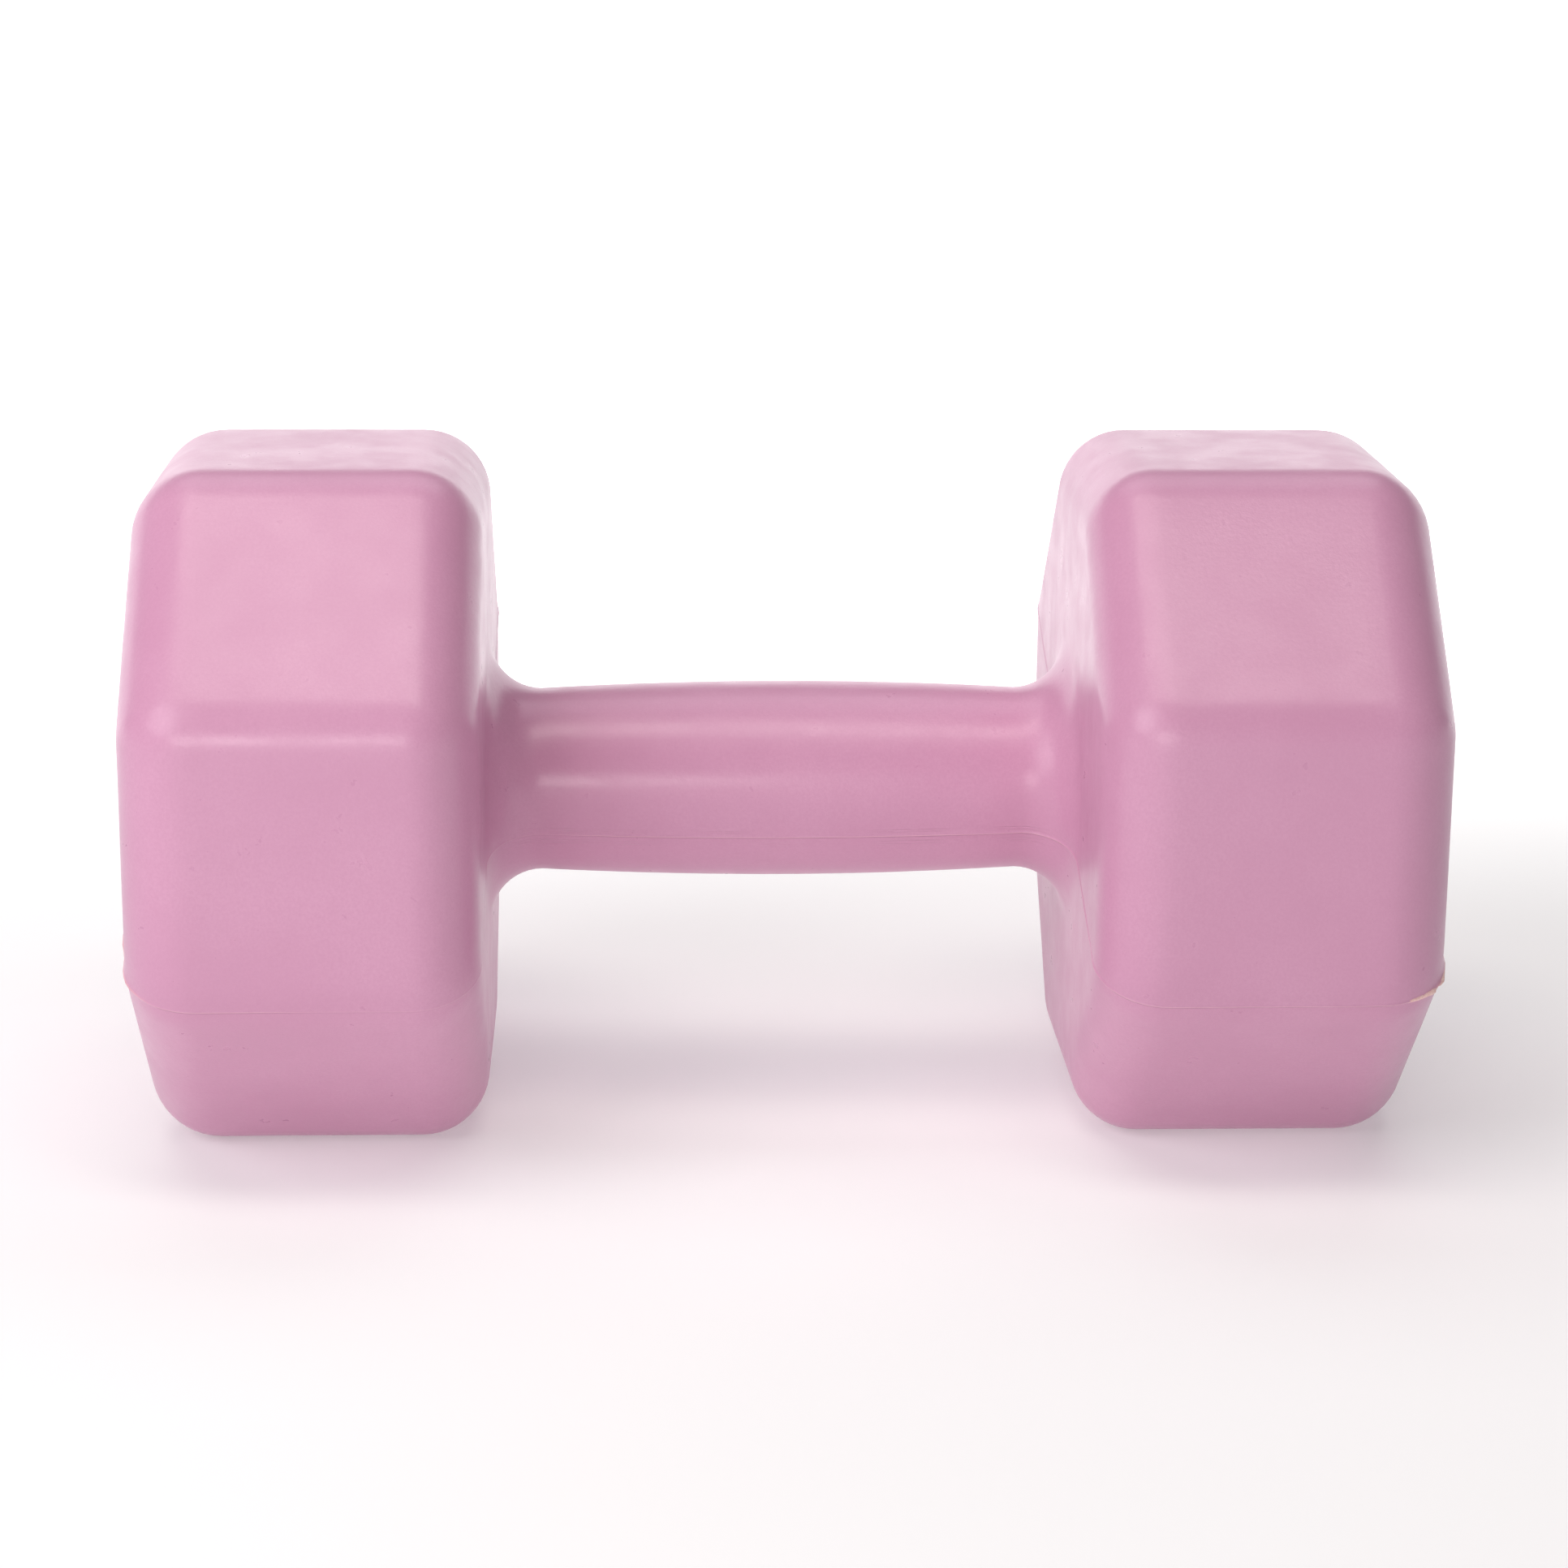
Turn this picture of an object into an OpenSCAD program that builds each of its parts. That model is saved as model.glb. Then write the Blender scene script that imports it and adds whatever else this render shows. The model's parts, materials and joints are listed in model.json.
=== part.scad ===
// Fixed-weight hand dumbbell with two octagonal heads and a crowned grip.
// A one-piece blow-moulded plastic shell holds a cast iron-sand mortar core
// and a steel tube, and a snap-in plug closes the filling hole.
// Millimetres, +Z up, X along the grip, origin at the middle of the grip.

/* [Heads] */
// distance between two opposite flats of a head
head_flats = 120; // [104:1:140]
// width of a head along the grip axis, without the crown of its end face
head_w = 60; // [50:1:74]
// rounding of all the edges of a head
edge_r = 13; // [10:1:16]
// height of the shallow crown on each outer end face
dome_h = 3; // [1.5:0.5:5]

/* [Grip] */
// clear length between the two heads
hand_gap = 104; // [92:1:125]
// grip diameter at its middle
grip_d = 35; // [32:0.5:42]
// how much the grip radius drops from the middle to the ends
grip_crown = 1.2; // [0.8:0.1:1.6]
// fillet between the grip and the heads
fillet_r = 9.4; // [7:0.2:11.5]

/* [Shell] */
// wall thickness of the blow-moulded shell
wall_t = 2.6; // [2.2:0.1:3.2]

/* [Reinforcing tube] */
// outer diameter of the steel tube
tube_od = 21; // [17:0.5:23]
// wall thickness of the steel tube
tube_wall = 1.8; // [1.2:0.1:2.5]
// how far the tube reaches into each head
tube_embed = 30; // [15:1:38]

/* [Filling hole and plug] */
// diameter of the filling hole
hole_d = 24; // [18:0.5:30]
// width of the step that the flange of the plug sits on
seat_w = 3.4; // [2.5:0.1:5]
// depth of the seat below the crown of the end face
seat_depth = 2.2; // [1.8:0.1:3]
// length of the skirt of the plug
skirt_len = 9; // [7:0.5:12]
// clearance between the plug and the shell, all round
plug_clear = 0.1; // [0.05:0.05:0.3]

/* [Hidden] */
$fn = 96;

// axis of a rounded corner: its distance from the middle plane of a flat, and
// half the width of the flat between two corners
corner_at = head_flats / 2 - edge_r;
flat_half = corner_at * tan(22.5);
// by how much neighbouring shapes stand proud of each other, so that they cross
ease = 0.04;
// how far the octagonal core stays inside the slabs
core_in = 0.2;
// how far one cut or body runs past another where only its middle matters
lap = 2;

gap_half = hand_gap / 2;
head_end = gap_half + head_w;
grip_r = grip_d / 2;
tube_len = hand_gap + 2 * tube_embed;

// crown of the end faces: a spherical cap that starts just inside the rounding
dome_rim = corner_at - 1;
dome_root = 12;
dome_sphere = (dome_rim * dome_rim + dome_h * dome_h) / (2 * dome_h);
dome_at = head_end + dome_h - dome_sphere;
dome_lap = 0.6;

// barrel shape of the grip
crown_half = gap_half - fillet_r;
crown_r = (crown_half * crown_half + grip_crown * grip_crown) / (2 * grip_crown);

// plug and its seat, measured inwards from the top of the crown at -X
hole_r = hole_d / 2;
seat_r = hole_r + seat_w;
lip_t = 2.4;
plug_top = head_end + dome_h;
seat_x = plug_top - seat_depth;
lip_x = seat_x - lip_t;
boss_r = seat_r + wall_t;
boss_x = lip_x;
skirt_t = 1.6;
// room in the mortar round the skirt and beyond its end
skirt_room = 1.2;
fill_stop = seat_x - skirt_len - 2.5;
// snap bead round the skirt: its radius, how far its middle lies inside the
// skirt's surface, and its distance behind the lip
bead_r = 1;
bead_in = 0.5;
bead_gap = 1.1;
// round mark in the middle of the plug
mark_r = 4;
mark_depth = 0.8;

// octagonal puck standing on z = 0 with every edge rounded by r: four slabs
// from flat to flat, an octagonal core between the end faces, a rod along each
// edge and a ball at each corner. Rods are proud of the flats by ease and
// balls by twice as much, so that every surface crosses the next one cleanly.
module puck(r, w) {
    for (k = [0 : 3]) rotate([0, 0, 45 * k]) translate([-corner_at - r, -flat_half, r])
        cube([2 * (corner_at + r), 2 * flat_half, w - 2 * r]);
    linear_extrude(w) rotate(22.5) circle((corner_at - core_in) / cos(22.5), $fn = 8);
    for (k = [0 : 7]) rotate([0, 0, 45 * k]) {
        for (z = [r, w - r]) translate([corner_at, 0, z]) rotate([90, 0, 0])
            cylinder(r = r + ease, h = 2 * flat_half, center = true);
        translate([corner_at, flat_half, r]) cylinder(r = r + ease, h = w - 2 * r);
        for (z = [r, w - r]) translate([corner_at, flat_half, z]) sphere(r + 2 * ease);
    }
}

// spherical cap on the outer end of a head, t below the outside surface
module dome(t) {
    rotate([0, 90, 0]) rotate_extrude() intersection() {
        translate([0, dome_at]) circle(dome_sphere - t, $fn = 720);
        translate([0, head_end - dome_root]) square([dome_rim + dome_lap, dome_root + dome_h + 1]);
    }
}

// one head at +X, its surface t below the outside surface
module head(t) {
    translate([gap_half + t, 0, 0]) rotate([0, 90, 0])
        puck(edge_r - t, head_w - 2 * t);
    dome(t);
}

// both heads
module heads(t) {
    head(t);
    mirror([1, 0, 0]) head(t);
}

// radius side of the grip fillets, t below the outside surface
function fillet_at(t) = grip_r - crown_r - ease
    + sqrt(pow(crown_r + fillet_r, 2) - pow(gap_half - fillet_r, 2));

// turned grip with its fillets, reaching into both heads
module grip(t) {
    f = fillet_r + t;
    c = fillet_at(t);
    rotate([0, 90, 0]) rotate_extrude() {
        intersection() {
            translate([grip_r - crown_r, 0]) circle(crown_r - t, $fn = 1440);
            translate([0, -crown_half - 2 * lap]) square([grip_r, 2 * crown_half + 4 * lap]);
        }
        for (s = [0, 1]) mirror([0, s]) difference() {
            translate([0, gap_half - fillet_r - lap]) square([c, fillet_r + 5 * lap]);
            translate([c, gap_half - fillet_r + ease]) circle(f);
        }
    }
}

// space around the plug, cut out of the mortar
module plug_room() {
    translate([-seat_x, 0, 0]) rotate([0, 90, 0]) cylinder(r = hole_r + skirt_room, h = seat_x - fill_stop);
}

// everything inside the shell: heads and grip, less the boss round the hole
module inside() {
    difference() {
        union() {
            heads(wall_t);
            grip(wall_t);
        }
        translate([-plug_top, 0, 0]) rotate([0, 90, 0]) cylinder(r = boss_r, h = plug_top - boss_x);
    }
}

module shell() {
    color([0.86, 0.62, 0.75]) difference() {
        union() {
            heads(0);
            grip(0);
        }
        inside();
        translate([-plug_top - 1, 0, 0]) rotate([0, 90, 0]) cylinder(r = seat_r, h = 1 + seat_depth);
        translate([-plug_top - 1, 0, 0]) rotate([0, 90, 0]) cylinder(r = hole_r, h = 2 + plug_top - lip_x);
    }
}

module tube_body(r, l) {
    translate([-l / 2, 0, 0]) rotate([0, 90, 0]) cylinder(r = r, h = l);
}

module reinforcing_tube() {
    color([0.62, 0.63, 0.65]) difference() {
        tube_body(tube_od / 2, tube_len);
        tube_body(tube_od / 2 - tube_wall, tube_len + lap);
    }
}

module mortar_fill() {
    color([0.45, 0.43, 0.41]) difference() {
        inside();
        plug_room();
        difference() {
            tube_body(tube_od / 2, tube_len);
            tube_body(tube_od / 2 - tube_wall, tube_len + lap);
        }
    }
}

// plug: a crowned flange in the seat, flush with the end face, and a hollow
// skirt down the hole with a snap bead behind the lip
module filler_plug() {
    color([0.83, 0.58, 0.71]) translate([-plug_top, 0, 0]) rotate([0, 90, 0]) rotate_extrude() difference() {
        union() {
            intersection() {
                square([seat_r - plug_clear, seat_depth]);
                translate([0, dome_sphere]) circle(dome_sphere, $fn = 720);
            }
            translate([0, 1]) square([hole_r - plug_clear, seat_depth + skirt_len - 1]);
            translate([hole_r - plug_clear - bead_in, seat_depth + lip_t + bead_gap]) circle(bead_r);
        }
        translate([0, seat_depth + 1]) square([hole_r - plug_clear - skirt_t, skirt_len]);
        translate([0, mark_depth - 1]) square([mark_r, 1]);
    }
}

shell();
mortar_fill();
reinforcing_tube();
filler_plug();
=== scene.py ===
"""Looks of a pink octagonal-head hand dumbbell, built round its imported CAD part.

The moulded shell and the filling-hole plug get finished meshes of their own. The
mortar core and the steel tube inside stay CAD nodes and get materials.

Mesh sizes are millimetres until new_mesh turns them into metres. A mesh is a list of
rows that follow each other along the surface. Each row goes once round the grip axis,
and its points are the columns. Angles round the axis start at the front, -Y, and grow
upwards.
"""

import json
import math

import bpy
import numpy as np
from mathutils import Matrix, Vector, noise


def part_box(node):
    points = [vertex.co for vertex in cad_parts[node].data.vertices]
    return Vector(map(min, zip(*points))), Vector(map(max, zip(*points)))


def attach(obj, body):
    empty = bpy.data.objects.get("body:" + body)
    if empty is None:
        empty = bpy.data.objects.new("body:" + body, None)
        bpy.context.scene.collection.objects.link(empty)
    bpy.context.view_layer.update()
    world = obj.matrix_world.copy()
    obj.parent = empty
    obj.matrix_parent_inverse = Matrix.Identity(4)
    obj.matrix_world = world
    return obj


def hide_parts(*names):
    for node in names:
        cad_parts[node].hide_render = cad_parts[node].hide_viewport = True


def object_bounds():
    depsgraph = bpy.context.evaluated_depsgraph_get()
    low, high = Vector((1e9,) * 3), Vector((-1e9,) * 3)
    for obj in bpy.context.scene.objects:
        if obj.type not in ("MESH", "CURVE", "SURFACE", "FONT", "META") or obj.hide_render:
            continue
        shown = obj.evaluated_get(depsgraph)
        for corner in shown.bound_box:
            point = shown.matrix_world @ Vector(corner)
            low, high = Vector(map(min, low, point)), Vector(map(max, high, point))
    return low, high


MM = 0.001

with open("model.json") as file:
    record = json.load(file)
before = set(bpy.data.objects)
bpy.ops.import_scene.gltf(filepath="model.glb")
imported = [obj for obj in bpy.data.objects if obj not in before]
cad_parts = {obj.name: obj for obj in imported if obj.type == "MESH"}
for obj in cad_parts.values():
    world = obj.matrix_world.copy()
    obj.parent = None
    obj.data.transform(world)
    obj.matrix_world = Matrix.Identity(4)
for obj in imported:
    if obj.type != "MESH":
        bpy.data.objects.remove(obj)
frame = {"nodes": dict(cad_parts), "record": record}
cad_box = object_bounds()
record = frame["record"]
grip_mount = next(m for m in record["mounts"] if m["name"] == "hand_grip")

# ---------------------------------------------------------------- sizes, from the frame
END_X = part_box("shell")[1].x / MM                    # top of the crowned end faces
HEAD_R = round(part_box("shell")[1].z / MM, 1)         # middle to flat
GRIP_R = grip_mount["dims"]["r_mm"]
GAP_HALF = grip_mount["dims"]["length_mm"] / 2
FLOOR_Z = cad_box[0].z / MM
PLUG_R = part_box("filler_plug")[1].z / MM
PLUG_IN = -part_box("filler_plug")[1].x / MM           # inner end of the plug's skirt

# ---------------------------------------------------------------- sizes of the surfaces
EDGE_R = 13.0        # rounding of the long edges of a head
OUTER_EDGE = 12.6    # rounding into the outer end face
INNER_EDGE = 11.8    # rounding into the inner face
CORE = HEAD_R - EDGE_R
DOME_H = 3.0         # height of the crown of an end face
DOME_R = 48.0        # where the crown runs out
CROWN_POWER = 1.3    # how fast the crown falls off towards its rim
HEAD_END = END_X - DOME_H
FILLET = 9.4
GRIP_CROWN = 1.2
WALL = 2.6
PLUG_GAP = 0.1       # room round the plug
SEAT_DEPTH = 2.2
SEAT_R = PLUG_R + PLUG_GAP
HOLE_R = 12.0
LIP = 2.4
BOSS_R = SEAT_R + WALL

QUARTER = math.pi / 2
EIGHTH = math.radians(45)
HALF = EIGHTH / 2
SEAM = math.radians(-22.5)            # mould parting plane: through the axis and this edge
SEAM_EDGES = (3, 7)                   # the two edges of a head, counted from the front, that it cuts
SEAM_BAND = EDGE_R * math.sin(HALF)   # half width of the finely divided seam strip
STRIP_SHARE = 0.83                    # most that the strip may take of a small ring's radius

# ---------------------------------------------------------------- how finely the meshes are divided
SEAM_STEPS = [0.1, 0.22, 0.4, 0.7, 1.2, 2.0, 3.2, SEAM_BAND]   # from the seam
FLAT_STEPS = [6.5, 9.5, 12.7, 16.0]                            # from either corner of a flat
ARC_STEPS = 4                                                  # on each half of an edge arc
ROUND_STEPS = 12                                               # on each quarter rounding
SIDE_ROWS = 12
GRIP_ROWS = 31
PLUG_COLUMNS = 128
FACE_RINGS = (1.2, 2.6, 4.5, 7.0, 10.0, 13.0, 16.2, 17.6, 20.0, 23.0, 26.0, 29.0, 32.0, 35.0, 38.0,
              40.5, 42.7, 44.5, 46.0)
INNER_FACE_SHARES = (0.14, 0.3, 0.46, 0.62, 0.78, 0.9)
ROUND_UP_TO = 20.0                    # rings of an end face are circles up to here
OCTAGON_FROM = 44.0                   # and octagons from here


# ---------------------------------------------------------------- columns round the axis
def make_columns():
    """One entry per column, going round: on a flat, on an edge arc, or beside the seam."""
    seam_steps = [-d for d in reversed(SEAM_STEPS)] + [0.0] + SEAM_STEPS
    half_flat = CORE * math.tan(HALF)
    flat_steps = [-half_flat + s for s in FLAT_STEPS] + [0.0]
    flat_steps += [half_flat - s for s in reversed(FLAT_STEPS)]
    arc_steps = [HALF * s / ARC_STEPS for s in range(-ARC_STEPS, ARC_STEPS + 1)]
    columns = []
    for k in range(8):
        flat_at = k * EIGHTH
        corner_at = flat_at + HALF
        columns += [("flat", flat_at, t) for t in flat_steps]
        if k in SEAM_EDGES:
            columns += [("seam", corner_at, d) for d in seam_steps]
        else:
            columns += [("arc", corner_at, t) for t in arc_steps]
    return columns


COLUMNS = make_columns()


def contour(rho):
    """Rounded octagon: an octagon of apothem CORE grown by rho. One point per column."""
    points = []
    for kind, at, value in COLUMNS:
        if kind == "flat":
            along, across = CORE + rho, value
        else:
            along, across = CORE / math.cos(HALF), 0.0
            if kind == "arc" or abs(value) <= rho * math.sin(HALF):
                turn = value if kind == "arc" else math.asin(value / rho)
                along, across = along + rho * math.cos(turn), rho * math.sin(turn)
            else:
                side = math.copysign(1.0, value)
                run = (abs(value) - rho * math.sin(HALF)) / math.cos(HALF)
                along += rho * math.cos(HALF) - run * math.sin(HALF)
                across = side * abs(value)
        points.append((along * math.cos(at) - across * math.sin(at),
                       along * math.sin(at) + across * math.cos(at)))
    return np.array(points)


REFERENCE = contour(EDGE_R)
COLUMN_ANGLES = np.arctan2(REFERENCE[:, 1], REFERENCE[:, 0])
FROM_SEAM = (COLUMN_ANGLES - SEAM + math.pi) % (2 * math.pi) - math.pi
SEAM_DISTANCE = np.array([c[2] if c[0] == "seam" else np.nan for c in COLUMNS])
STRIP_EDGE = math.asin(SEAM_BAND / math.hypot(HEAD_R, SEAM_BAND + CORE * math.tan(HALF)))


def ring_angles(radius):
    """Angle of each column on a circle; the seam columns keep their distance from the seam."""
    reach = min(SEAM_BAND, STRIP_SHARE * radius)
    strip = math.asin(reach / radius)
    folded = np.minimum(np.abs(FROM_SEAM), math.pi - np.abs(FROM_SEAM))
    spread = strip + (folded - STRIP_EDGE) * (QUARTER - strip) / (QUARTER - STRIP_EDGE)
    in_strip = ~np.isnan(SEAM_DISTANCE)
    near = np.where(in_strip, np.nan_to_num(SEAM_DISTANCE) * reach / SEAM_BAND / radius, 0.0)
    spread = np.where(in_strip, np.abs(np.arcsin(near)), spread)
    far_side = np.abs(FROM_SEAM) > QUARTER
    away = np.where(far_side, math.pi - spread, spread)
    return SEAM + np.sign(FROM_SEAM) * away


def circle_points(radius, angles):
    return np.stack([radius * np.cos(angles), radius * np.sin(angles)], axis=1)


def ring(radius):
    return circle_points(radius, ring_angles(radius))


def smoothstep(low, high, value):
    t = np.clip((value - low) / (high - low), 0.0, 1.0)
    return t * t * (3 - 2 * t)


def face_ring(apothem):
    """Ring on an end face: a circle near the middle that grows into an octagon at the rim."""
    angles = ring_angles(apothem)
    off_flat = (angles + HALF) % EIGHTH - HALF
    roundness = 1 - smoothstep(ROUND_UP_TO, OCTAGON_FROM, apothem)
    return circle_points(apothem * (roundness + (1 - roundness) / np.cos(off_flat)), angles)


def crown_height(radius):
    """Height of the crown of an end face at a distance from the axis."""
    reach = np.clip(radius / DOME_R, 0.0, 1.0)
    return DOME_H * (1 - reach ** 2) ** CROWN_POWER


def crown(points):
    """Height of the crown of an end face at each point."""
    return crown_height(np.hypot(points[:, 0], points[:, 1]))


def lift(points, x):
    """Row from points round the axis, given as (towards the front, up), and their place along X."""
    x = np.broadcast_to(x, len(points))
    return np.stack([x, -points[:, 0], points[:, 1]], axis=1)


def grip_radius(x):
    """Barrel shape of the grip between the fillets."""
    return GRIP_R - GRIP_CROWN * (x / (GAP_HALF - FILLET)) ** 2


def head_rows(first_apothem):
    """Rows of the +X head, from its outer end face round to the start of the grip."""
    rows = []
    for apothem in FACE_RINGS:
        if apothem > first_apothem:
            points = face_ring(apothem)
            rows.append(lift(points, HEAD_END + crown(points)))
    for step in range(ROUND_STEPS, -1, -1):             # outer rounding
        turn = QUARTER * step / ROUND_STEPS
        rho = EDGE_R - OUTER_EDGE + OUTER_EDGE * math.cos(turn)
        points = contour(rho)
        rows.append(lift(points, HEAD_END - OUTER_EDGE * (1 - math.sin(turn)) + crown(points)))
    side_from = HEAD_END - OUTER_EDGE
    side_to = GAP_HALF + INNER_EDGE
    for x in np.linspace(side_from, side_to, SIDE_ROWS + 2)[1:-1]:
        rows.append(lift(contour(EDGE_R), x))
    for step in range(ROUND_STEPS + 1):                 # inner rounding
        turn = QUARTER * step / ROUND_STEPS
        rho = EDGE_R - INNER_EDGE + INNER_EDGE * math.cos(turn)
        rows.append(lift(contour(rho), GAP_HALF + INNER_EDGE * (1 - math.sin(turn))))
    rim = contour(EDGE_R - INNER_EDGE)
    fillet_top = grip_radius(GAP_HALF - FILLET) + FILLET
    for share in INNER_FACE_SHARES:
        rows.append(lift(rim * (1 - share) + ring(fillet_top) * share, GAP_HALF))
    for step in range(ROUND_STEPS + 1):                 # grip fillet
        turn = QUARTER * step / ROUND_STEPS
        radius = fillet_top - FILLET * math.sin(turn)
        rows.append(lift(ring(radius), GAP_HALF - FILLET * (1 - math.cos(turn))))
    return rows


def outer_rows():
    """Rows of the whole outer surface, from the plug's seat at -X to the middle of the +X end."""
    left = [row * (-1, 1, 1) for row in head_rows(first_apothem=SEAT_R)]
    grip_places = np.linspace(FILLET - GAP_HALF, GAP_HALF - FILLET, GRIP_ROWS + 2)[1:-1]
    grip = [lift(ring(grip_radius(x)), x) for x in grip_places]
    right = head_rows(first_apothem=0.0)
    pole = lift(np.zeros((len(COLUMNS), 2)), END_X)
    return np.array(left + grip + right[::-1] + [pole])


def grid_normals(rows):
    """Outward normals of a grid of rows whose last row is a single repeated point."""
    along = np.gradient(rows, axis=0)
    around = np.roll(rows, -1, axis=1) - np.roll(rows, 1, axis=1)
    normals = np.cross(around, along)
    lengths = np.linalg.norm(normals, axis=2, keepdims=True)
    normals = normals / np.maximum(lengths, 1e-9)       # the repeated point has no length
    normals[-1] = (1.0, 0.0, 0.0)
    middle = len(rows) // 2
    outward = np.sign(np.sum(normals[middle, :, 1:] * rows[middle, :, 1:]))
    normals[:-1] *= outward
    return normals


# ---------------------------------------------------------------- moulding marks
WAVE_HEIGHT, SMALL_WAVE_HEIGHT = 0.05, 0.008
LINE_HEIGHT, LINE_WIDTH = 0.24, 0.2           # fine line left by the two mould halves
LINE_VARIES = 0.5                             # share of its height that comes and goes
STEP_HEIGHT, STEP_WIDTH = 0.06, 0.25          # slight step between the halves
STEP_REACH = 2.5                              # and how far from the line it fades out
WELD_HEIGHT, WELD_WIDTH = 0.26, 0.55          # pinched-off weld across the end faces
WELD_VARIES = 0.2
WELD_FROM, WELD_FULL = 7.0, 0.6               # how far below the rim of the end face it starts
SINK_DEPTH, SINK_AT, SINK_WIDTH = 0.06, 2.0, 1.1   # the wall draws in a little beside it
# lumps on the weld: their distance from the axis, half length and height
LEFT_LUMP = (45.0, 3.5, 0.45)
RIGHT_LUMP = (38.0, 5.0, 0.4)


def wave(points, size, shift):
    """Smooth noise in -1..1 at each point, with features of about that size."""
    return np.array([noise.noise(Vector(p) / size + Vector((shift, shift, shift))) for p in points])


def bell(value, width):
    """Bell curve that is 1 where the value is 0."""
    return np.exp(-(value / width) ** 2)


def seam_coordinates(points):
    """Distance from the parting plane, and distance from the axis along it, plus to the front."""
    front, up = -points[:, 1], points[:, 2]
    across = up * math.cos(SEAM) - front * math.sin(SEAM)
    along = front * math.cos(SEAM) + up * math.sin(SEAM)
    return across, along


def line_strength(x, at_front):
    """How strong the parting line is: full on the +X head, less on the grip and the -X head."""
    right_head, grip, back = 1.0, 0.7, 0.75
    grip_end = 30
    left_head, left_growth = 0.35, 0.45
    grows_from, grows_to = -84.0, -100.0
    on_left_head = left_head + left_growth * smoothstep(grows_from, grows_to, x)
    strength = np.where(x > grip_end, right_head, np.where(x > -grip_end, grip, on_left_head))
    return np.where(at_front, strength, back)


def moulding_relief(points):
    """How far each outside point stands proud of the ideal surface."""
    across, along = seam_coordinates(points)
    x = points[:, 0]
    slow = wave(points, size=23.0, shift=3.0)
    quick = wave(points, size=4.5, shift=11.0)
    relief = WAVE_HEIGHT * slow + SMALL_WAVE_HEIGHT * wave(points, size=9.0, shift=7.0)
    strength = line_strength(x, at_front=along > 0) * (1 + LINE_VARIES * quick)
    relief += LINE_HEIGHT * strength * bell(across, LINE_WIDTH)
    relief += STEP_HEIGHT * strength * np.tanh(across / STEP_WIDTH) * bell(across, STEP_REACH)
    on_end = smoothstep(HEAD_END - WELD_FROM, HEAD_END - WELD_FULL, np.abs(x))
    weld = WELD_HEIGHT + WELD_VARIES * quick
    for (place, length, height), on_head in ((LEFT_LUMP, x < 0), (RIGHT_LUMP, x > 0)):
        weld += height * bell(along - place, length) * on_head
    relief += on_end * weld * bell(across, WELD_WIDTH)
    relief -= SINK_DEPTH * on_end * bell(np.abs(across) - SINK_AT, SINK_WIDTH)
    return relief


# ---------------------------------------------------------------- meshes
def new_mesh(name, vertices, faces):
    """Smooth-shaded mesh object in the scene, from vertices in millimetres."""
    mesh = bpy.data.meshes.new(name)
    mesh.from_pydata([tuple(v * MM for v in p) for p in vertices], [], faces)
    mesh.validate()
    mesh.polygons.foreach_set("use_smooth", [True] * len(mesh.polygons))
    mesh.update()
    piece = bpy.data.objects.new(name, mesh)
    bpy.context.scene.collection.objects.link(piece)
    return piece


def closed_grid(name, rows):
    """Closed piece from rows that go round; the first and the last row are single points."""
    count = len(rows[0])
    body = rows[1:-1]
    vertices = [tuple(rows[0][0])] + [tuple(p) for row in body for p in row] + [tuple(rows[-1][0])]
    last = len(vertices) - 1
    last_row = 1 + (len(body) - 1) * count
    faces = []
    for j in range(count):
        k = (j + 1) % count
        faces.append((0, 1 + j, 1 + k))
        for i in range(len(body) - 1):
            a, b = 1 + i * count, 1 + (i + 1) * count
            faces.append((a + j, b + j, b + k, a + k))
        faces.append((last_row + j, last, last_row + k))
    return new_mesh(name, vertices, faces)


def turned_rows(profile, segments):
    """Rows of a turned part round X from (x, radius) pairs."""
    angles = np.arange(segments) * 2 * math.pi / segments
    circle = circle_points(1.0, angles)
    return [lift(circle * radius, x) for x, radius in profile]


def bend(centre, radius, start, end, steps):
    """Points of an arc in the (x, radius) plane, angles in degrees."""
    turns = [math.radians(start + (end - start) * i / steps) for i in range(steps + 1)]
    return [(centre[0] + radius * math.cos(t), centre[1] + radius * math.sin(t)) for t in turns]


def seat_rows():
    """Rows of the hole and the plug's seat at -X, from the inside wall out to the end face."""
    edge, edge_steps, corner_gap = 0.45, 4, 0.1
    seat_x = -(END_X - SEAT_DEPTH)
    lip_x = seat_x + LIP
    top_x = -(HEAD_END + crown_height(SEAT_R))
    profile = [(lip_x, BOSS_R), (lip_x, HOLE_R + edge)]
    profile += bend((lip_x - edge, HOLE_R + edge), edge, 0, -90, edge_steps)[1:]
    profile += bend((seat_x + edge, HOLE_R + edge), edge, -90, -180, edge_steps)
    profile += [(seat_x, SEAT_R - edge), (seat_x, SEAT_R), (seat_x - corner_gap, SEAT_R)]
    profile += bend((top_x + edge, SEAT_R + edge), edge, -90, -160, edge_steps)
    return [lift(ring(radius), x) for x, radius in profile]


def make_shell():
    """The blow-moulded shell: outside with its moulding marks, filling hole, and inside wall."""
    outside = outer_rows()
    normals = grid_normals(outside)
    inside = outside - normals * WALL
    relief = moulding_relief(outside.reshape(-1, 3)).reshape(outside.shape[:2])
    relief[-1] = relief[-2].mean()
    marked = outside + normals * relief[:, :, None]
    # the inside wall leaves out the rings that are narrower than the boss round the hole
    boss_rings = sum(SEAT_R < apothem < BOSS_R for apothem in FACE_RINGS)
    inner_wall = list(inside[boss_rings:][::-1])
    return closed_grid("shell_skin", inner_wall + seat_rows() + list(marked))


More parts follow.
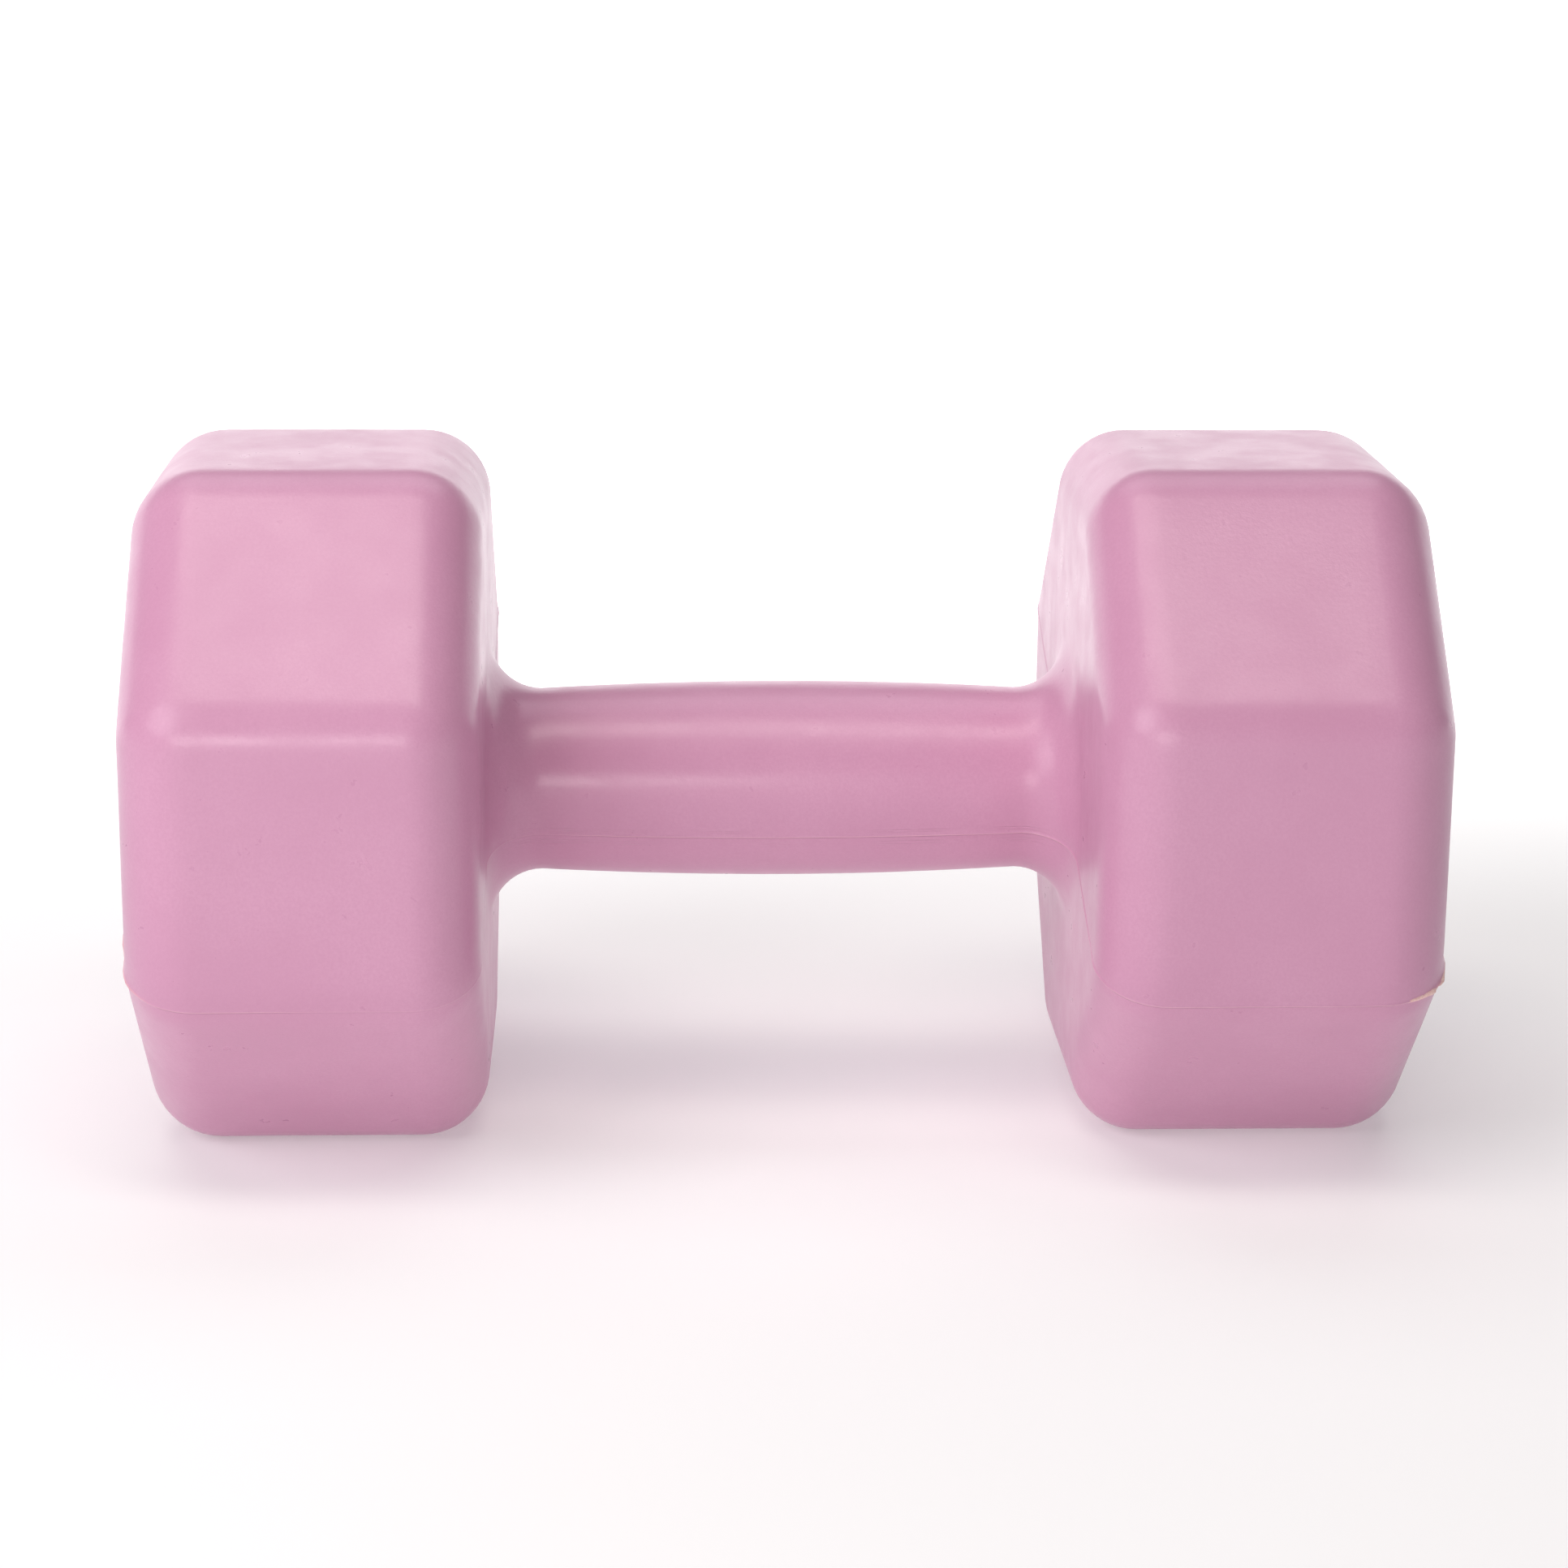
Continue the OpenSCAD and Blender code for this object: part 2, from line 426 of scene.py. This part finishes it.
def make_plug():
    """Snap-in plug of the filling hole: crowned flange, ring groove, centre mark, skirt and bead.

    Its profile is a list of (depth below the top of the crown, radius).
    """
    mark_r, mark_depth, mark_round = 4.0, 0.8, 0.35
    mark_middle, mark_lip, mark_lip_round = 1.5, 0.42, 0.38
    groove_r, groove_margin = 10.6, 0.7
    inner_rings, outer_rings = (5.4, 7.0, 8.5), (12.4, 13.6)          # on either side of the groove
    groove = ((0.1, -0.35), (0.3, -0.15), (0.3, 0.15), (0.1, 0.35))   # depth, and radius past groove_r
    rim_round, seat_bevel, bevel = 0.6, 0.3, 0.4
    bead_in, bead_half, bead_span, bead_step = 0.5, 1.1, 55, 11       # the last two in degrees
    web, web_round, seat_room = 1.0, 0.6, 0.05
    seat = SEAT_DEPTH - seat_room
    skirt_r, skirt_t = HOLE_R - PLUG_GAP, 1.6
    bore_r = skirt_r - skirt_t
    skirt_end = END_X - PLUG_IN
    bead_at = SEAT_DEPTH + LIP + bead_half
    web_at = SEAT_DEPTH + web

    def on_crown(*radii):
        return [(DOME_H - crown_height(radius), radius) for radius in radii]

    mark_floor = mark_r - 2 * mark_round
    profile = [(mark_depth, 0.0), (mark_depth, mark_middle), (mark_depth, mark_floor)]
    profile += bend((mark_depth - mark_round, mark_floor), mark_round, 0, 60, 3)[1:]
    profile += bend((mark_lip, mark_r + mark_round), mark_lip_round, 240, 180, 3)
    profile += on_crown(*inner_rings, groove_r - groove_margin)
    top = DOME_H - crown_height(groove_r)
    profile += [(top + depth, groove_r + past) for depth, past in groove]
    profile += on_crown(groove_r + groove_margin, *outer_rings, PLUG_R - rim_round)
    rim = DOME_H - crown_height(PLUG_R - rim_round)
    profile += bend((rim + rim_round, PLUG_R - rim_round), rim_round, 180, 90, 5)[1:]
    profile += [(seat - seat_bevel, PLUG_R), (seat, PLUG_R - seat_bevel)]
    profile += [(seat, skirt_r + bevel), (seat + bevel, skirt_r), (bead_at - bead_half, skirt_r)]
    for degrees in range(-bead_span, bead_span + 1, bead_step):
        turn = math.radians(degrees)
        profile.append((bead_at + math.sin(turn), skirt_r - bead_in + math.cos(turn)))
    profile += [(bead_at + bead_half, skirt_r), (skirt_end - bevel, skirt_r), (skirt_end, skirt_r - bevel)]
    profile += [(skirt_end, bore_r + bevel), (skirt_end - bevel, bore_r)]
    profile += [(web_at + web_round, bore_r), (web_at, bore_r - web_round), (web_at, mark_r), (web_at, 0.0)]
    rows = turned_rows([(depth - END_X, radius) for depth, radius in profile], PLUG_COLUMNS)
    return closed_grid("plug_cap", rows)


def make_flash():
    """Thin trimmed fin of plastic left on the +X head where the seam turns onto its end face."""
    steps, turn_from, turn_span = 44, 22, 64         # along the outer rounding, in degrees
    half_base, half_shoulder, half_tip = 0.42, 0.24, 0.12
    root_height, shoulder_share, tallest, least = -0.3, 0.55, 0.95, 0.02
    common, slow_tears, quick_tears = 0.75, 0.35, 0.2
    bluntness, end_share = 0.7, 1.02                 # how fast it rises, and where it runs out
    lean_varies, lean_down = 0.25, 0.12
    sections = []
    for i in range(steps + 1):
        share = i / steps
        turn = math.radians(turn_from + turn_span * share)
        rho = EDGE_R - OUTER_EDGE + OUTER_EDGE * math.cos(turn)
        x = HEAD_END - OUTER_EDGE * (1 - math.sin(turn))
        ragged = common + slow_tears * noise.noise(Vector((share * 7.0, 2.0, 5.0)))
        ragged += quick_tears * noise.noise(Vector((share * 26.0, 9.0, 1.0)))
        hump = math.sin(math.pi * min(1.0, share * end_share)) ** bluntness
        rise = tallest * hump * ragged + least
        lean = lean_varies * noise.noise(Vector((share * 5.0, 8.0, 3.0))) - lean_down
        outward = np.array([math.sin(turn), math.cos(turn)])       # along X, and away from the axis
        middle = np.array([x, CORE / math.cos(HALF) + rho])
        profile = [(-half_base, root_height), (-half_shoulder, shoulder_share * rise), (-half_tip, rise)]
        profile += [(-across, height) for across, height in reversed(profile)]
        section = []
        for across, height in profile:
            place = middle + outward * height
            shift = across + lean * max(height, 0.0)
            front = place[1] * math.cos(SEAM) - shift * math.sin(SEAM)
            up = place[1] * math.sin(SEAM) + shift * math.cos(SEAM)
            section.append((place[0], -front, up))
        sections.append(np.array(section))
    ends = [np.tile(section.mean(axis=0), (len(section), 1)) for section in (sections[0], sections[-1])]
    return closed_grid("seam_flash", [ends[0]] + sections + [ends[1]])


# ---------------------------------------------------------------- materials
NOISE_RANGE = (0.3, 0.7)    # part of a noise texture's values that is stretched to 0..1


class Nodes:
    """Short way to build a node tree: most calls add a node and return one of its outputs."""

    def __init__(self, name):
        self.material = bpy.data.materials.new(name)
        self.material.use_nodes = True
        self.tree = self.material.node_tree
        self.shader = self.tree.nodes["Principled BSDF"]
        self.place = self.add("ShaderNodeTexCoord").node.outputs["Object"]

    def add(self, kind, settings=None, output=0, **sockets):
        """Add a node; sockets are given by name, or by number as i0, i1 and so on."""
        node = self.tree.nodes.new(kind)
        for key, value in (settings or {}).items():
            setattr(node, key, value)
        for key, value in sockets.items():
            numbered = key[0] == "i" and key[1:].isdigit()
            self.feed(node.inputs[int(key[1:]) if numbered else key], value)
        return node.outputs[output]

    def feed(self, socket, value):
        """Link a node's output to a socket, or set the socket to a plain value."""
        if isinstance(value, bpy.types.NodeSocket):
            self.tree.links.new(value, socket)
        else:
            socket.default_value = value

    def surface(self, sockets):
        """Feed the shader's sockets by name and return the material."""
        for name, value in sockets.items():
            self.feed(self.shader.inputs[name], value)
        return self.material

    def noise(self, size_mm, detail=2.0, rough=0.5):
        return self.add("ShaderNodeTexNoise", Vector=self.place, Scale=1 / (size_mm * MM),
                        Detail=detail, Roughness=rough)

    def math(self, operation, a, b=0.0, c=0.0):
        return self.add("ShaderNodeMath", {"operation": operation}, i0=a, i1=b, i2=c)

    def times(self, a, b):
        return self.math("MULTIPLY", a, b)

    def span(self, value, low, high, to_low=0.0, to_high=1.0):
        """Smooth step of the value from low to high."""
        return self.add("ShaderNodeMapRange", {"interpolation_type": "SMOOTHSTEP"},
                        i0=value, i1=low, i2=high, i3=to_low, i4=to_high)

    def near(self, value, place, full, gone):
        """1 where the value is within full of the place, and 0 from the distance gone on."""
        off = self.math("ABSOLUTE", self.math("SUBTRACT", value, place))
        return self.span(off, full, gone, 1.0, 0.0)

    def mix(self, share, a, b):
        node = self.tree.nodes.new("ShaderNodeMix")
        node.data_type = "RGBA"
        self.feed(node.inputs["Factor"], share)
        self.feed(node.inputs[6], a)
        self.feed(node.inputs[7], b)
        return node.outputs[2]

    def bump(self, height, depth_mm, normal=None):
        sockets = {"Height": height, "Distance": depth_mm * MM, "Strength": 1.0}
        if normal is not None:
            sockets["Normal"] = normal
        return self.add("ShaderNodeBump", **sockets)

    def cells(self, size_mm, settings=None, **sockets):
        """Cell texture: the distance to the cell's middle, and a random tone per cell."""
        distance = self.add("ShaderNodeTexVoronoi", settings, Vector=self.place,
                            Scale=1 / (size_mm * MM), **sockets)
        tone = self.add("ShaderNodeSeparateColor", i0=distance.node.outputs["Color"])
        return distance, tone


def srgb(red, green, blue):
    """Linear colour with alpha from sRGB values in 0..255."""
    linear = [((c / 255 + 0.055) / 1.055) ** 2.4 if c > 10 else c / 255 / 12.92
              for c in (red, green, blue)]
    return (*linear, 1.0)


def tint(base, red, green, blue):
    """Colour with each channel of the base taken times a number."""
    return (base[0] * red, base[1] * green, base[2] * blue, 1.0)


def skin_colour(n, base, mottle, speck):
    """Cloudy, slightly mottled and grainy resin with sparse darker specks."""
    mottle_range, mottle_share = (0.35, 0.75), 0.25
    grain_share, speck_share = 0.5, 0.42
    light = tint(base, 1.03, 1.03, 1.03)
    deep = tint(base, 0.975, 0.94, 0.96)
    grain_colour = tint(base, 0.93, 0.86, 0.90)
    speck_colour = tint(base, 0.62, 0.45, 0.5)
    cloud = n.noise(size_mm=26.0, detail=3.0)
    grain = n.noise(size_mm=0.5, detail=3.0, rough=0.7)
    colour = n.mix(n.span(cloud, *NOISE_RANGE), deep, light)
    colour = n.mix(n.span(mottle, *mottle_range, to_high=mottle_share), colour, deep)
    colour = n.mix(n.span(grain, *NOISE_RANGE, to_high=grain_share), colour, grain_colour)
    return n.mix(n.times(speck, speck_share), colour, speck_colour)


def seam_distance(n):
    """Distance of a shaded point from the parting plane in millimetres, and its X in metres."""
    axes = n.add("ShaderNodeSeparateXYZ", i0=n.place).node.outputs
    from_y = n.times(axes[1], math.sin(SEAM) / MM)
    return n.math("MULTIPLY_ADD", axes[2], math.cos(SEAM) / MM, from_y), axes[0]


def tool_lines(n, across, along_x, normal):
    """Broken lines that the mould left along the seam of the grip."""
    lines_at = ((-1.9, 0.16), (-1.2, 0.1), (0.85, 0.12), (1.35, 0.1))   # distance from the seam, width
    broken_range = (0.36, 0.6)
    lines = None
    for place, width in lines_at:
        line = n.near(across, place, full=0.0, gone=width)
        lines = line if lines is None else n.math("MAXIMUM", lines, line)
    in_grip = n.near(along_x, 0.0, full=0.043, gone=0.052)
    broken = n.span(n.noise(size_mm=11.0), *broken_range)
    return n.bump(n.times(n.times(lines, in_grip), broken), depth_mm=0.05, normal=normal)


def seam_shading_and_weld_colour(n, across, along_x, colour):
    """Parting line with a painted highlight on its crest and a painted shadow just below it, and the
    trimmed weld's peachy edge.
    """
    faint_x, faint_range, faint_share = -0.06, (0.018, 0.034), 0.25   # metres along X
    end_range = (0.106, 0.1125)
    painted_highlight_share, painted_shadow_share, weld_share = 0.30, 0.50, 0.55
    off_faint = n.math("ABSOLUTE", n.math("SUBTRACT", along_x, faint_x))
    faint = n.span(off_faint, *faint_range, to_low=faint_share)
    # where the painted highlight on the raised line's crest goes, and where the painted shadow just below
    # the line goes
    crest_highlight = n.near(across, 0.0, full=0.05, gone=0.16)
    shadow_below_line = n.near(across, -0.27, full=0.04, gone=0.14)
    # painted highlight: pale colour along the crest of the raised line
    colour = n.mix(n.times(n.times(crest_highlight, faint), painted_highlight_share), colour, srgb(240, 196, 205))
    # painted shadow: dark colour just below the raised line
    colour = n.mix(n.times(n.times(shadow_below_line, faint), painted_shadow_share), colour, srgb(150, 84, 116))
    on_end = n.span(n.math("ABSOLUTE", along_x), *end_range)
    weld = n.times(n.near(across, 0.0, full=0.1, gone=0.55), on_end)
    return n.mix(n.times(weld, weld_share), colour, srgb(238, 184, 186))


def pink_plastic(name, base, seam_marks_and_shading):
    """Satin moulded plastic: cloudy pink, specks and pits, pebbled skin, tool lines by the seam, and with
    seam marks a painted highlight and painted shadow along the parting line.
    """
    n = Nodes(name)
    empty_cells, speck_range, mottle_rough = 0.72, (0.012, 0.034), 0.06
    mottle = n.noise(size_mm=2.2, detail=3.0, rough=0.6)
    distance, tone = n.cells(3.4, settings={"feature": "F1"}, Randomness=1.0)
    rare = n.math("GREATER_THAN", tone, empty_cells)
    speck = n.times(n.span(distance, *speck_range, to_low=1.0, to_high=0.0), rare)
    colour = skin_colour(n, base, mottle, speck)
    rough = n.span(n.noise(size_mm=7.0, detail=4.0), *NOISE_RANGE, to_low=0.25, to_high=0.32)
    rough = n.math("MULTIPLY_ADD", mottle, mottle_rough, rough)
    normal = n.bump(n.noise(size_mm=5.5, detail=1.5), depth_mm=0.010)                       # slow waves
    normal = n.bump(n.noise(size_mm=1.15, detail=2.0), depth_mm=0.026, normal=normal)       # orange peel
    normal = n.bump(n.noise(size_mm=0.42, rough=0.6), depth_mm=0.018, normal=normal)        # pebbled skin
    normal = n.bump(n.times(speck, -1.0), depth_mm=0.008, normal=normal)                    # pits
    if seam_marks_and_shading:
        across, along_x = seam_distance(n)
        normal = tool_lines(n, across, along_x, normal)
        # painted highlight and painted shadow along the parting line, and the weld's peachy tint
        colour = seam_shading_and_weld_colour(n, across, along_x, colour)
    return n.surface({"Base Color": colour, "Roughness": rough, "Normal": normal,
                      "IOR": 1.5, "Specular IOR Level": 0.5})


def flash_plastic():
    """Torn edge of the same plastic: paler, peachy and rough."""
    n = Nodes("flash_plastic")
    torn = n.noise(size_mm=0.5, detail=4.0, rough=0.7)
    colour = n.mix(n.span(torn, *NOISE_RANGE), srgb(234, 186, 182), srgb(250, 222, 214))
    rough = n.span(torn, *NOISE_RANGE, to_low=0.5, to_high=0.68)
    return n.surface({"Base Color": colour, "Roughness": rough, "Normal": n.bump(torn, depth_mm=0.06)})


def mortar():
    """Cast iron-sand mortar: grey brown with dark grains, and small voids that are bumped in and darkened
    with painted shade.
    """
    n = Nodes("iron_sand_mortar")
    plain_grains, pit_range, pit_shade_share = 0.7, (0.62, 0.72), 0.6
    tone = n.cells(size_mm=1.4)[1]
    cloud = n.noise(size_mm=9.0, detail=5.0, rough=0.6)
    colour = n.mix(n.span(cloud, *NOISE_RANGE), srgb(112, 106, 98), srgb(146, 138, 127))
    colour = n.mix(n.math("GREATER_THAN", tone, plain_grains), colour, srgb(62, 56, 52))
    pits = n.span(n.noise(size_mm=2.6, detail=3.0), *pit_range)
    # painted shade: the voids' colour darkened towards near black
    colour = n.mix(n.times(pits, pit_shade_share), colour, srgb(70, 66, 62))
    rough = n.span(cloud, low=0.2, high=0.8, to_low=0.82, to_high=0.95)
    normal = n.bump(n.math("SUBTRACT", tone, pits), depth_mm=0.25)
    return n.surface({"Base Color": colour, "Roughness": rough, "Normal": normal})


def drawn_steel():
    """Welded steel tube: drawn lines along X, mill scale patches."""
    n = Nodes("drawn_steel")
    line_mm, along_share = 0.35, 0.04
    stretch = n.add("ShaderNodeMapping", i0=n.place, i3=(along_share, 1.0, 1.0))
    lines = n.add("ShaderNodeTexNoise", Vector=stretch, Scale=1 / (line_mm * MM), Detail=3.0)
    scale = n.noise(size_mm=12.0, detail=5.0, rough=0.65)
    colour = n.mix(n.span(scale, low=0.45, high=0.62), srgb(168, 170, 174), srgb(112, 106, 104))
    rough = n.span(scale, low=0.4, high=0.65, to_low=0.32, to_high=0.6)
    return n.surface({"Base Color": colour, "Roughness": rough, "Metallic": 1.0,
                      "Normal": n.bump(lines, depth_mm=0.02)})


# ---------------------------------------------------------------- the object
PINK = srgb(207, 153, 182)
PLUG_PINK = tint(PINK, 0.94, 0.94, 0.94)

shell = make_shell()
shell.data.materials.append(pink_plastic("pink_shell_plastic", PINK, seam_marks_and_shading=True))
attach(shell, "root")
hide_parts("shell")

plug = make_plug()
plug.data.materials.append(pink_plastic("pink_plug_plastic", PLUG_PINK, seam_marks_and_shading=False))
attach(plug, "root")
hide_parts("filler_plug")

flash = make_flash()
flash.data.materials.append(flash_plastic())
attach(flash, "root")

for node, material in (("mortar_fill", mortar()), ("reinforcing_tube", drawn_steel())):
    for material_slot in frame["nodes"][node].material_slots:
        material_slot.material = material


# ---------------------------------------------------------------- studio
FLOOR_GLOW = 0.26               # how much light the floor gives off near the object and in front
FAR_GLOW = 1.25                 # and behind it and far away
GLOW_BEHIND = (-0.05, 0.6)      # metres along Y over which the glow grows
GLOW_AROUND = (0.8, 1.9)        # metres from the origin over which the glow grows


def make_floor():
    """Wide seamless floor, nearly white and slightly glowing so that it stays pale."""
    reach, sweep, rise, half_width = 5000.0, 1500.0, 3000.0, 9000.0
    profile = [(-reach, FLOOR_Z), (reach, FLOOR_Z)]
    for degrees in range(15, 91, 15):
        turn = math.radians(degrees)
        profile.append((reach + sweep * math.sin(turn), FLOOR_Z + sweep * (1 - math.cos(turn))))
    profile.append((reach + sweep, FLOOR_Z + rise))
    vertices = [(side * half_width, y, z) for y, z in profile for side in (-1, 1)]
    faces = [(2 * i, 2 * i + 1, 2 * i + 3, 2 * i + 2) for i in range(len(profile) - 1)]
    floor = new_mesh("studio_floor", vertices, faces)
    n = Nodes("pale_floor")
    colour = n.mix(n.noise(size_mm=900.0), (0.74, 0.74, 0.74, 1), (0.78, 0.78, 0.78, 1))
    behind = n.span(n.add("ShaderNodeSeparateXYZ", output=1, i0=n.place), *GLOW_BEHIND)
    distance = n.add("ShaderNodeVectorMath", {"operation": "LENGTH"}, output=1, i0=n.place)
    far = n.math("MAXIMUM", behind, n.span(distance, *GLOW_AROUND))
    glow = n.span(far, 0.0, 1.0, FLOOR_GLOW, FAR_GLOW)
    floor.data.materials.append(n.surface({
        "Base Color": colour, "Roughness": 0.9, "Specular IOR Level": 0.0,
        "Emission Color": (1.0, 1.0, 1.0, 1.0), "Emission Strength": glow}))


def direction(azimuth, elevation):
    """Unit vector; azimuth 0 is the front, -Y, and grows towards +X. Angles in degrees."""
    azimuth, elevation = math.radians(azimuth), math.radians(elevation)
    level = math.cos(elevation)
    return Vector((math.sin(azimuth) * level, -math.cos(azimuth) * level, math.sin(elevation)))


def placed(name, data, place, right, up, back):
    """Lamp or camera in the scene, with its own axes along the given directions."""
    item = bpy.data.objects.new(name, data)
    item.matrix_world = Matrix.Translation(place) @ Matrix((right, up, back)).transposed().to_4x4()
    bpy.context.scene.collection.objects.link(item)
    return item


def softbox(name, azimuth, elevation, distance, width, height, power, colour):
    """Rectangular area light that faces the object; width is level, sizes and distance in metres."""
    lamp = bpy.data.lights.new(name, "AREA")
    lamp.shape = "RECTANGLE"
    lamp.size, lamp.size_y = width, height
    lamp.energy = power
    lamp.color = colour
    back = direction(azimuth, elevation)
    right = Vector((0, 0, 1)).cross(back).normalized()
    placed(name, lamp, back * distance, right, back.cross(right), back)


def make_world(colour, strength):
    """Even light from all round."""
    world = bpy.data.worlds.new("soft_world")
    world.use_nodes = True
    background = world.node_tree.nodes["Background"]
    background.inputs["Color"].default_value = (*colour, 1.0)
    background.inputs["Strength"].default_value = strength
    bpy.context.scene.world = world


def make_camera():
    """Camera at the photograph's viewing angle: slightly above and a touch to the left."""
    azimuth, elevation, roll = -2.47, 14.94, math.radians(0.44)
    distance, shift_right, shift_up = 669.0, 1.055, -1.217
    back = direction(azimuth, elevation)
    level = Vector((math.cos(math.radians(azimuth)), math.sin(math.radians(azimuth)), 0.0))
    above = back.cross(level)
    right = level * math.cos(roll) + above * math.sin(roll)
    up = above * math.cos(roll) - level * math.sin(roll)
    place = (back * distance + right * shift_right + up * shift_up) * MM
    data = bpy.data.cameras.new("photo_camera")
    data.sensor_width = 36.0
    data.lens = 84.83
    data.clip_end = 60.0
    bpy.context.scene.camera = placed("photo_camera", data, place, right, up, back)


make_floor()
make_world(colour=(0.95, 0.96, 1.0), strength=0.12)
softbox("key_above_front", azimuth=-22, elevation=76, distance=1.3, width=1.2, height=0.42, power=6.8,
        colour=(1.0, 0.92, 0.87))
softbox("top_behind", azimuth=180, elevation=64, distance=1.3, width=1.3, height=0.7, power=4.0,
        colour=(0.96, 0.96, 1.0))
softbox("strip_front_left", azimuth=-13, elevation=10.5, distance=1.2, width=0.62, height=0.09, power=3.0,
        colour=(1.0, 0.95, 0.93))
softbox("fill_front_left", azimuth=-50, elevation=32, distance=0.8, width=0.5, height=0.5, power=2.6,
        colour=(1.0, 0.97, 1.0))
make_camera()
bpy.context.scene.view_settings.view_transform = "Standard"
